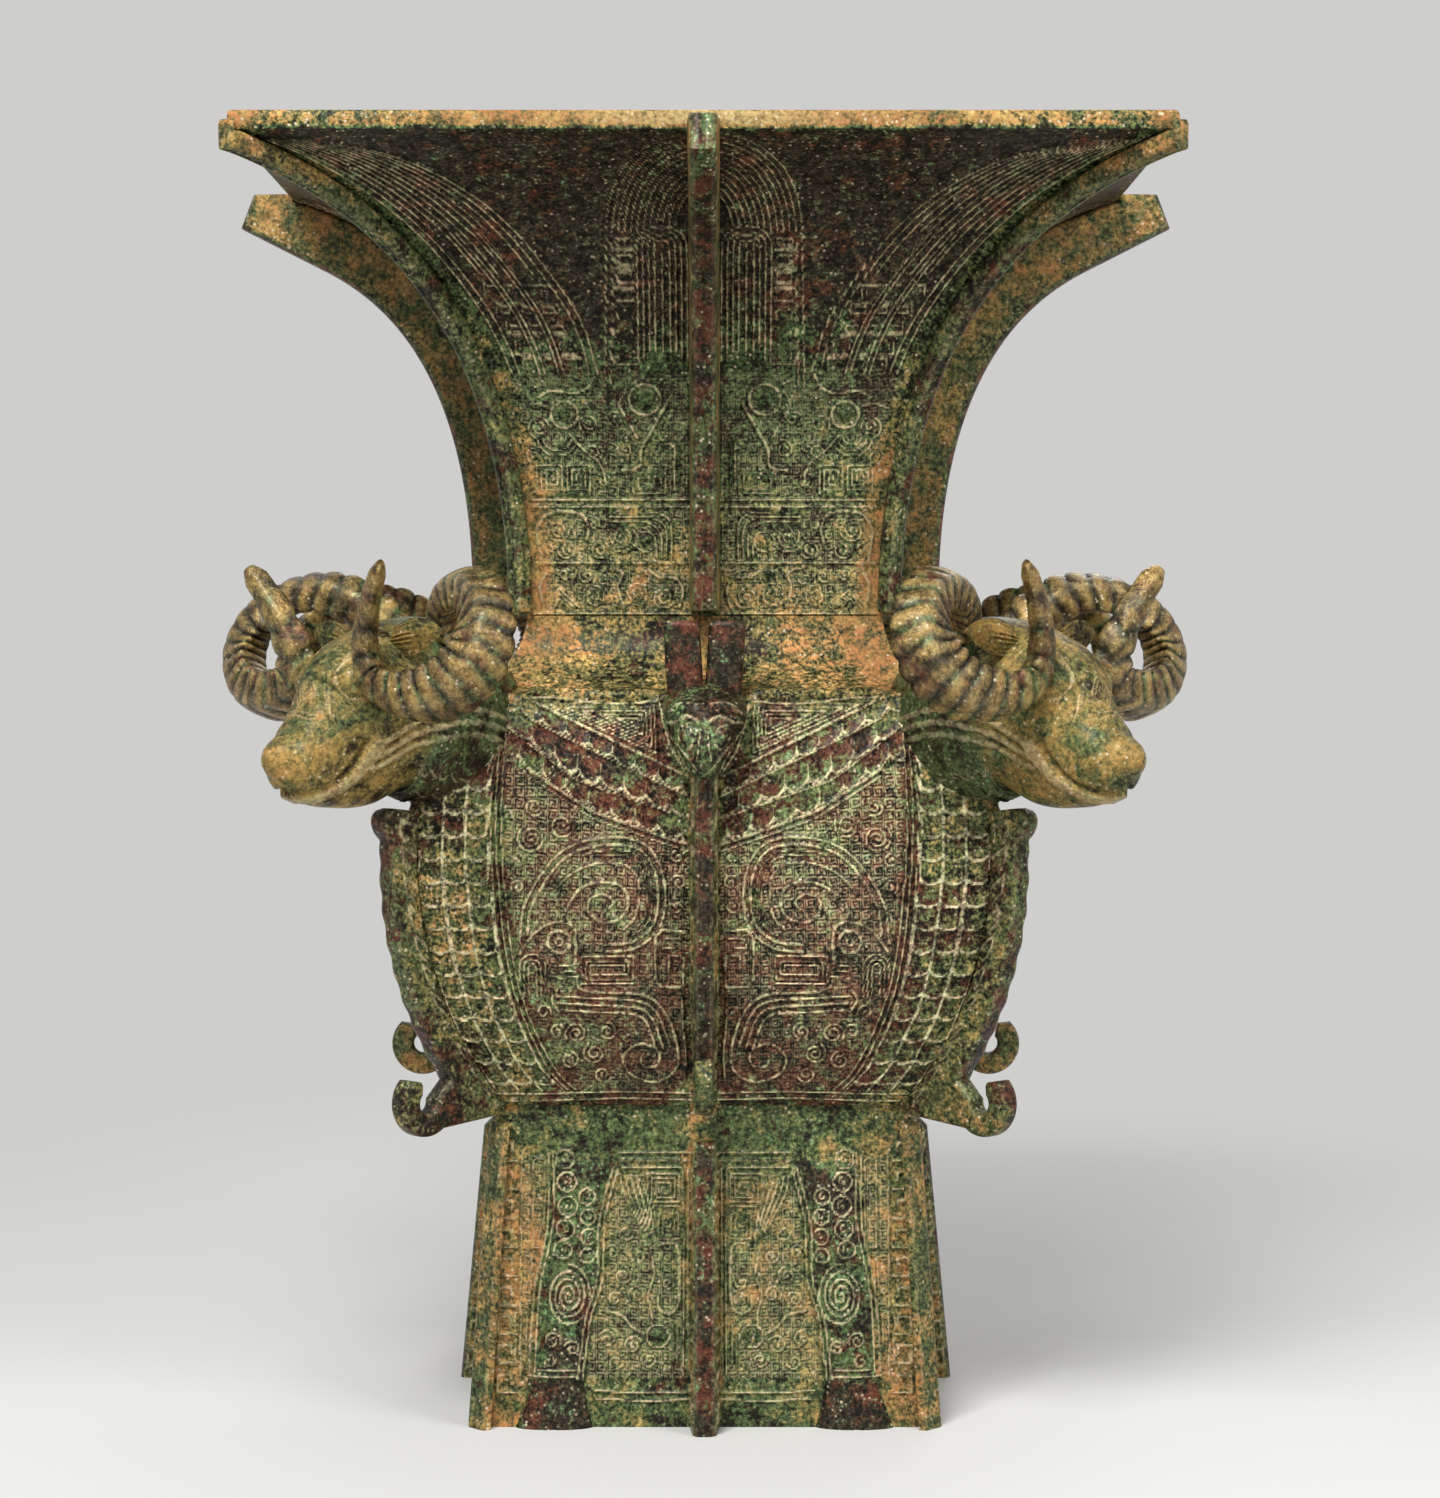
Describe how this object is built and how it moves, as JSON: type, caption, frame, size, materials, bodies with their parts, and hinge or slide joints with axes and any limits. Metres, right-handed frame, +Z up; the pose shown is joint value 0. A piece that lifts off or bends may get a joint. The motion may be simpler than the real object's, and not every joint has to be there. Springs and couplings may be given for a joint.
{
  "type": "square ritual wine vessel",
  "caption": "Square cast bronze zun with a flaring mouth, ram heads at the shoulder corners, dragon heads between them, upright flanges and a hollow square foot.",
  "frame": {"origin": "centre of the foot's resting edge, on the floor", "axes": "+Z up along the vessel's axis; the face seen in the picture looks along -Y"},
  "size_m": [0.452, 0.452, 0.583],
  "materials": {
    "green_bronze": "cast bronze with a green and brown patina",
    "dark_bronze": "dark red-brown bronze, worn smooth",
    "earthy_bronze": "cast bronze with tan earth in the hollows",
    "clay": "fired clay core"
  },
  "bodies": {
    "root": {"vessel_neck": "green_bronze", "vessel_belly": "green_bronze", "vessel_foot": "green_bronze", "neck_face_flange_front": "dark_bronze", "dragon_head_front": "earthy_bronze", "belly_face_flange_front": "dark_bronze", "foot_face_flange_front": "dark_bronze", "neck_face_flange_right": "dark_bronze", "dragon_head_right": "earthy_bronze", "belly_face_flange_right": "dark_bronze", "foot_face_flange_right": "dark_bronze", "neck_face_flange_back": "dark_bronze", "dragon_head_back": "earthy_bronze", "belly_face_flange_back": "dark_bronze", "foot_face_flange_back": "dark_bronze", "neck_face_flange_left": "dark_bronze", "dragon_head_left": "earthy_bronze", "belly_face_flange_left": "dark_bronze", "foot_face_flange_left": "dark_bronze", "neck_corner_flange_front_left": "earthy_bronze", "ram_head_front_left": "green_bronze", "ram_core_front_left": "clay", "ram_horn_left_front_left": "dark_bronze", "ram_horn_right_front_left": "dark_bronze", "chest_flange_front_left": "dark_bronze", "foot_corner_flange_front_left": "green_bronze", "neck_corner_flange_front_right": "earthy_bronze", "ram_head_front_right": "green_bronze", "ram_core_front_right": "clay", "ram_horn_left_front_right": "dark_bronze", "ram_horn_right_front_right": "dark_bronze", "chest_flange_front_right": "dark_bronze", "foot_corner_flange_front_right": "green_bronze", "neck_corner_flange_back_right": "earthy_bronze", "ram_head_back_right": "green_bronze", "ram_core_back_right": "clay", "ram_horn_left_back_right": "dark_bronze", "ram_horn_right_back_right": "dark_bronze", "chest_flange_back_right": "dark_bronze", "foot_corner_flange_back_right": "green_bronze", "neck_corner_flange_back_left": "earthy_bronze", "ram_head_back_left": "green_bronze", "ram_core_back_left": "clay", "ram_horn_left_back_left": "dark_bronze", "ram_horn_right_back_left": "dark_bronze", "chest_flange_back_left": "dark_bronze", "foot_corner_flange_back_left": "green_bronze"}
  },
  "joints": []
}
